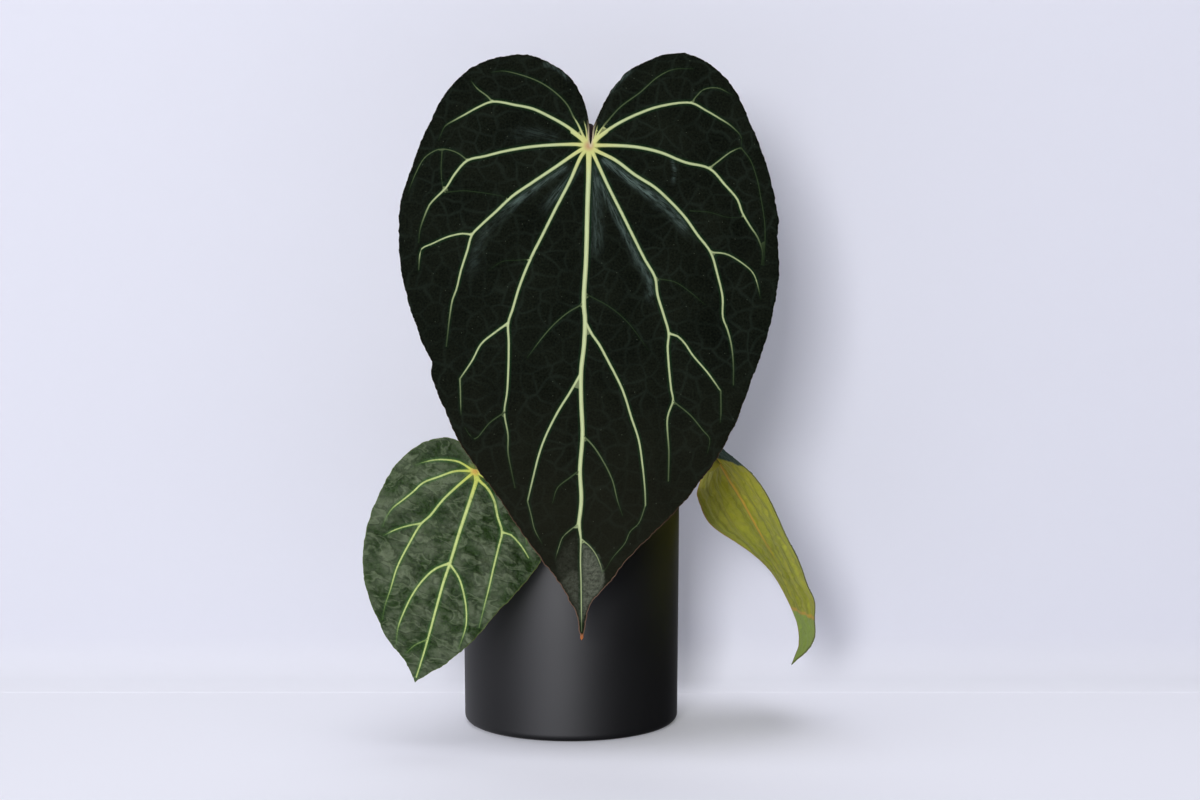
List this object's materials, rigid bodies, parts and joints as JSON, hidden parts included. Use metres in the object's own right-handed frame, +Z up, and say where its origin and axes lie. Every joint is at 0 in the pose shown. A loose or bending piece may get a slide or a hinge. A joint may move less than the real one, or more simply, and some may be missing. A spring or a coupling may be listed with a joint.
{
  "type": "potted anthurium hybrid",
  "caption": "Aroid house plant with dark heart-shaped leaves and pale raised veins, growing from a short stem in a plain black cylinder pot that stands on a flat surface.",
  "frame": {"origin": "centre of the pot's flat base, on the surface that it stands on", "axes": "+Z up, -Y to the front, where the large leaf hangs; +X towards the leaf that shows its back from the front"},
  "size_m": [0.264, 0.1704, 0.3946],
  "materials": {
    "pot": "matte",
    "soil": "matte",
    "crown": "matte",
    "petiole_main": "satin",
    "petiole_small": "satin",
    "blade_main": "matte",
    "blade_left": "satin",
    "blade_right": "satin"
  },
  "bodies": {
    "root": {"pot": "pot", "soil": "soil", "crown": "crown", "petiole_main": "petiole_main", "petiole_left": "petiole_small", "petiole_right": "petiole_small", "blade_main": "blade_main", "blade_left": "blade_left", "blade_right": "blade_right"}
  },
  "joints": []
}
